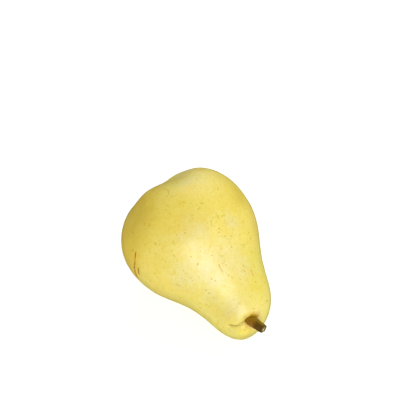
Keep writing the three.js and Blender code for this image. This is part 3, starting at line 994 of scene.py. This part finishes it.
def stalk_mesh(stalk, sizes):
    """Vertices and faces of the stalk, with ribs that twist a little and a hollowed cut face."""
    seat, along, up, side = (np.array(v) for v in stalk_axes(sizes))
    angle = circle(STALK_SIDES)

    def ring(at, scale, sink=0.0):
        share = max(0.0, at) / stalk.outside
        swell = stalk.root_swell * math.exp(-((share / 0.35) ** 2))
        radius = stalk.radius + swell - stalk.tip_taper * share**4
        ribs = stalk.rib_rise * min(1, share / 0.33) * np.cos(STALK_RIBS * (angle + RIB_TWIST * share))
        grain = BARK_GRAIN * ring_noise(angle, 9, at / 0.0016)
        knobs = BARK_KNOBS * ring_noise(angle, 2, at / 0.003 + 9) * min(1, share * 4)
        reach = (radius + ribs + grain + knobs)[:, None] * scale
        centre = seat + along * (at - sink)
        return centre + reach * (np.cos(angle)[:, None] * up + np.sin(angle)[:, None] * side)

    edge = stalk.outside - CUT_ROUNDING
    rings = [ring(at, 1.0) for at in np.linspace(-stalk.inside, edge, STALK_RINGS)]
    for turn in np.linspace(0, math.pi / 2, CUT_EDGE_RINGS)[1:]:
        rings.append(ring(edge + CUT_ROUNDING * math.sin(turn), 1 - (1 - CUT_SHARE) * (1 - math.cos(turn))))
    for share in np.linspace(1, 0, CUT_FACE_RINGS)[1:-1]:
        sink = CUT_HOLLOW * (1 - share**6) - PITH_RISE * math.exp(-((share / 0.3) ** 2))
        rings.append(ring(stalk.outside, CUT_SHARE * share, sink))
    end = seat + along * (stalk.outside - CUT_HOLLOW + PITH_RISE)
    return loft(seat - along * stalk.inside, np.array(rings), end)


class PEAR_OT_stalk(bpy.types.Operator):
    """Makes the woody stalk with its cut end"""

    bl_idname = "pear.stalk"
    bl_label = "Stalk"

    def execute(self, context):
        sizes, stalk = context.scene.pear_fruit, context.scene.pear_stalk
        lying = resting_place(sizes)
        piece = mesh_object("pear_stalk", *stalk_mesh(stalk, sizes), lying)
        piece.data.materials.append(stalk_material(stalk, lying, sizes))
        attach(piece, BODY)
        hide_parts("stalk")
        return {"FINISHED"}


# ---- Calyx ----

SEPAL_RINGS = 26
SEPAL_ACROSS = 12
# A sepal's foot beside the core, its gap to the basin's wall, and the rise of its arch and of its curled tip.
SEPAL_FOOT = 0.0009
SEPAL_GAP = 0.0012
SEPAL_ARCH = 0.0008
SEPAL_CURL = 0.0012
SEPAL_THICKNESS = 0.00056
SEPAL_CUP = 0.0008
SEPAL_RIPPLE = 0.00012
SEPAL_RIB = 0.00018
SEPAL_SHRIVEL = 0.0022

# A stamen's thread and its head, which is placed as a share of the thread's length.
THREAD_SIDES = 7
THREAD_RINGS = 14
THREAD_RADIUS = 0.00011
THREAD_LENGTH = 0.003
THREAD_SWAY = 0.0003
THREAD_BEND = 0.0007
THREAD_END = 0.0001
HEAD_SWELL = 0.00022
HEAD_AT = 0.9
HEAD_REACH = 0.09
STAMEN_FOOT = 0.0008
STAMEN_SPREAD = 0.0019
STAMEN_SHRIVEL = 0.0008

GOLDEN_ANGLE = math.pi * (3 - math.sqrt(5))
SHRIVEL_SIZE = 0.0028


def calyx_material(calyx, middle):
    """Papery brown, near black in the middle and paler at the tips of the sepals."""
    material, graph, shader, place = new_material("Dried calyx")
    patch = graph.noise(place, 0.0012, 4, 0.6)
    fibre = graph.noise(place, 0.0004, 3, 0.6, 8.0)
    bleached = graph.noise(place, 0.002, 2, 0.5, 5.0)
    from_middle = graph.vector("DISTANCE", place, middle)
    colour = graph.layered(calyx.dry, (
        (graph.band(patch, 0.35, 0.65), linear(54, 36, 20)),
        (graph.band(bleached, 0.55, 0.7, 0, 0.6), linear(160, 128, 82)),
        (graph.band(from_middle, 0.0042, 0.0022, 0, 0.7), linear(44, 28, 14)),
        (graph.band(from_middle, 0.0052, 0.0072, 0, 0.5), linear(150, 112, 62)),
        (graph.band(fibre, 0.5, 0.7, 0, 0.5), linear(60, 40, 22)),
    ))
    graph.feed(shader, {
        "Base Color": colour,
        "Roughness": graph.band(patch, 0.3, 0.7, 0.75, 0.95),
        "Normal": graph.bump(0.8, graph.plus(patch, fibre)),
    })
    return material


def closed_loft(rings):
    """A loft that is closed in the middle of its first and last rings."""
    return loft(rings[0].mean(0), np.array(rings), rings[-1].mean(0))


def sepal_mesh(calyx, sizes):
    """One sepal as a curled blade that leans on the basin's wall, in the plane of around = 0."""
    basin_height, basin_radius = outline_at(sizes, np.linspace(0, FIRST_OUTER_SPAN, 200))[:2]
    top = np.linspace(1, -1, SEPAL_ACROSS)
    rings = []
    for share in np.linspace(0, 1, SEPAL_RINGS):
        left = 1 - share
        out = SEPAL_FOOT + calyx.sepal_length * share
        lift = SEPAL_GAP + SEPAL_ARCH * math.sin(math.pi * share) + SEPAL_CURL * share**4
        height = np.interp(out, basin_radius, basin_height) - lift
        # Broad as far as the middle, then pointed, with a wavy edge.
        taper = (1.03 - share) ** 0.8 * (1 + 0.7 * share) * (1 + 0.06 * math.sin(19 * share))
        half = calyx.sepal_width / 2 * taper
        thick = SEPAL_THICKNESS / 2 * (1.1 - share)
        cup = SEPAL_CUP * top**2 * left**0.5 + SEPAL_RIPPLE * np.sin(6 * top + 9 * share) * left
        rib = SEPAL_RIB * np.exp(-((top / 0.15) ** 2)) * left
        upper = np.stack([height - cup - rib - thick, top * half, out + 0 * top], -1)
        lower = np.stack([height - cup + thick, top * half, out + 0 * top], -1)[::-1]
        rings.append(np.vstack([upper, lower]))
    return closed_loft(rings)


def stamen_mesh():
    """One dried stamen: a thin bent thread with a small shrivelled head, standing along -x."""
    angle = circle(THREAD_SIDES)
    ring = np.stack([0 * angle, np.sin(angle), np.cos(angle)], -1)
    rings = []
    for share in np.linspace(0, 1, THREAD_RINGS):
        head = HEAD_SWELL * math.exp(-(((share - HEAD_AT) / HEAD_REACH) ** 2))
        radius = THREAD_RADIUS + head - (THREAD_END if share == 1 else 0)
        centre = np.array([-THREAD_LENGTH * share, THREAD_SWAY * math.sin(3 * share), THREAD_BEND * share**2])
        rings.append(centre + radius * ring)
    return closed_loft(rings)


def spun_tree(material):
    """Copies of a shape round the core, a step further round each, spread out from the middle like seeds."""
    sockets = {"Count": "Int", "Seed": "Int", "Step": "Float", "Spread": "Float", "Shrivel": "Float"}
    tree, graph, given = geometry_tree("Spun round the core", sockets)
    seed = given["Seed"]
    line = graph.out("GeometryNodeMeshLine", {"Count": given["Count"], "Offset": (0.0, 0.0, 0.0)})
    index = graph.out("GeometryNodeInputIndex")
    turn = graph.plus(graph.times(index, given["Step"]), graph.random(-0.12, 0.12, seed))
    share = graph.math("DIVIDE", graph.plus(index, 0.5), given["Count"])
    out = graph.times(graph.math("SQRT", share), given["Spread"])
    side = graph.times(out, graph.times(graph.math("SINE", turn), -1.0))
    lift = graph.times(out, graph.math("COSINE", turn))
    inputs = {
        "Points": shifted(graph, line, graph.joined(0.0, side, lift)),
        "Instance": given["Geometry"],
        "Rotation": graph.joined(turn, graph.random(-0.08, 0.08, seed, 1), 0.0),
        "Scale": graph.random(0.82, 1.08, seed, 2),
    }
    real = made_real(graph, graph.out("GeometryNodeInstanceOnPoints", inputs))
    # Each copy shrivels in its own way.
    bend = graph.wobble(point_place(graph)[0], SHRIVEL_SIZE, given["Shrivel"], 1.5)
    end_tree(graph, shifted(graph, real, bend), material)
    return tree


class PEAR_OT_calyx(bpy.types.Operator):
    """Makes the dried sepals and stamens in the blossom end"""

    bl_idname = "pear.calyx"
    bl_label = "Calyx"

    def execute(self, context):
        sizes, calyx = context.scene.pear_fruit, context.scene.pear_calyx
        lying = resting_place(sizes)
        floor = outline_at(sizes, 0.0)[0]
        tree = spun_tree(calyx_material(calyx, lying @ Vector((floor, 0, 0))))

        def spun(piece, count, step, spread, shrivel):
            values = {"Count": count, "Seed": calyx.seed, "Step": step, "Spread": spread, "Shrivel": shrivel}
            return applied(piece, tree, values)

        sepals = mesh_object("pear_sepals", *sepal_mesh(calyx, sizes))
        spun(sepals, calyx.sepals, math.tau / max(calyx.sepals, 1), 0.0, SEPAL_SHRIVEL)
        stamens = mesh_object("pear_stamens", *stamen_mesh())
        spun(stamens, calyx.stamens, GOLDEN_ANGLE, STAMEN_SPREAD, STAMEN_SHRIVEL)
        stamens.data.transform(Matrix.Translation((floor - STAMEN_FOOT, 0, 0)))
        for piece in (sepals, stamens):
            piece.data.transform(lying)
            piece.data.shade_smooth()
            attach(piece, BODY)
            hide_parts("calyx")
        return {"FINISHED"}


# ---- Stage ----

# What the camera looks at.
VIEW_MIDDLE = Vector((-0.01483, 0.01902, 0.0337))
LENS = 100
LIGHT_DISTANCE = 0.8
# Where the wide, low window is.
WINDOW_SIDE = Vector((0.93, -0.3, 0.2))
ROOM_STRENGTH = 0.05
FLOOR_REACH = 6
# Keeps the floor just clear of the spots that the fruit rests on.
FLOOR_GAP = 0.0001


def area_light(name, direction, size, power):
    """A soft round light that shines at the pear from a direction."""
    light = bpy.data.lights.new(name, "AREA")
    light.shape = "DISK"
    light.size = size
    light.energy = power
    lamp = bpy.data.objects.new(name, light)
    toward = direction.normalized()
    lamp.location = VIEW_MIDDLE + toward * LIGHT_DISTANCE
    lamp.rotation_euler = toward.to_track_quat("Z", "Y").to_euler()
    bpy.context.scene.collection.objects.link(lamp)
    return lamp


def add_camera(scene, back, distance):
    """The camera, which stands back from the pear in this direction."""
    camera = bpy.data.cameras.new("Camera")
    camera.lens = LENS
    camera.sensor_width = 36
    camera.sensor_fit = "HORIZONTAL"
    camera.clip_start = 0.01
    camera.clip_end = 20
    viewer = bpy.data.objects.new("Camera", camera)
    viewer.location = VIEW_MIDDLE + back * distance
    viewer.rotation_euler = back.to_track_quat("Z", "Y").to_euler()
    scene.collection.objects.link(viewer)
    scene.camera = viewer


def floor_material(shade):
    """Matt floor that glows a little, and is clear from below."""
    material, graph, shader, place = new_material("Floor")
    # Far from the pear the lights fall off, so the floor glows more there.
    glow = graph.band(graph.vector("LENGTH", place), 0.25, 0.9, 0.72, 1.05)
    graph.feed(shader, {
        "Base Color": shade, "Roughness": 0.9, "Emission Color": (1, 1, 1), "Emission Strength": glow,
    })
    below = graph.add("ShaderNodeNewGeometry").outputs["Backfacing"]
    clear = graph.out("ShaderNodeBsdfTransparent")
    seen = graph.out("ShaderNodeMixShader", {0: below, 1: shader.outputs[0], 2: clear})
    output = next(node for node in material.node_tree.nodes if node.type == "OUTPUT_MATERIAL")
    graph.plug(output.inputs[0], seen)
    return material


def studio_world(window_strength):
    """White to the camera. For the pear it is a dim room with a wide, low window in front."""
    world = bpy.data.worlds.new("Studio")
    world.use_nodes = True
    world.node_tree.nodes.clear()
    graph = Graph(world.node_tree)
    seen = graph.add("ShaderNodeLightPath").outputs["Is Camera Ray"]
    toward = graph.add("ShaderNodeTexCoord").outputs["Generated"]
    facing = graph.vector("DOT_PRODUCT", toward, WINDOW_SIDE.normalized())
    window = graph.band(facing, 0.3, 0.97, ROOM_STRENGTH, window_strength)
    inputs = {"Color": (1.0, 1.0, 1.0), "Strength": graph.most([seen, window])}
    graph.add("ShaderNodeOutputWorld", {0: graph.out("ShaderNodeBackground", inputs)})
    return world


class PEAR_OT_stage(bpy.types.Operator):
    """Adds the floor, the soft lights and the camera"""

    bl_idname = "pear.stage"
    bl_label = "Stage"

    def execute(self, context):
        scene = context.scene
        stage = scene.pear_stage
        sin, cos = math.sin(stage.azimuth), math.cos(stage.azimuth)
        flat = math.cos(stage.elevation)
        back = Vector((sin * flat, -cos * flat, math.sin(stage.elevation)))
        right = Vector((cos, sin, 0))
        up = back.cross(right)
        add_camera(scene, back, stage.distance)

        # The key and back lights shine in the skin; the others only fill its shades.
        for name, direction, size, power, shines in (
            ("Key", back + 0.22 * right - 0.5 * up, 0.62, stage.key_power, True),
            ("Back", up - 0.1 * back + 0.12 * right, 0.9, stage.back_power, True),
            ("Top", up + 0.25 * right, 0.9, stage.top_power, False),
            ("Side", back + 1.6 * right + 1.6 * up, 0.45, stage.side_power, False),
            ("Fill", 0.6 * back - 1.8 * right + 0.5 * up, 0.8, stage.fill_power, False),
        ):
            area_light(name, direction, size, power).visible_glossy = shines

        edges = (-FLOOR_REACH, FLOOR_REACH)
        floor = mesh_object("floor", [(x, y, -FLOOR_GAP) for x in edges for y in edges], [(0, 2, 3, 1)])
        floor.data.materials.append(floor_material(stage.floor))
        floor.visible_glossy = False

        scene.world = studio_world(stage.window_strength)
        scene.view_settings.view_transform = "Standard"
        scene.view_settings.look = "None"
        scene.view_settings.exposure = 0
        scene.view_settings.gamma = 1
        return {"FINISHED"}


OPERATORS = (PEAR_OT_fruit, PEAR_OT_dots, PEAR_OT_stalk, PEAR_OT_calyx, PEAR_OT_stage)


class PEAR_PT_panel(bpy.types.Panel):
    """Lists the pear's pieces and their settings"""

    bl_idname = "PEAR_PT_panel"
    bl_label = "Pear"
    bl_space_type = "VIEW_3D"
    bl_region_type = "UI"
    bl_category = "Pear"

    def draw(self, context):
        for (group, kind), operator in zip(SETTINGS.items(), OPERATORS):
            box = self.layout.box()
            box.operator(operator.bl_idname)
            for name in kind.__annotations__:
                box.prop(getattr(context.scene, group), name)


def register():
    for kind in (*SETTINGS.values(), *OPERATORS, PEAR_PT_panel):
        bpy.utils.register_class(kind)
    for name, kind in SETTINGS.items():
        setattr(bpy.types.Scene, name, PointerProperty(type=kind))


def unregister():
    for name in SETTINGS:
        delattr(bpy.types.Scene, name)
    for kind in reversed((*SETTINGS.values(), *OPERATORS, PEAR_PT_panel)):
        bpy.utils.unregister_class(kind)


def main():
    register()
    bpy.ops.pear.fruit()
    bpy.ops.pear.dots()
    bpy.ops.pear.stalk()
    bpy.ops.pear.calyx()
    bpy.ops.pear.stage()


if __name__ == "__main__":
    main()
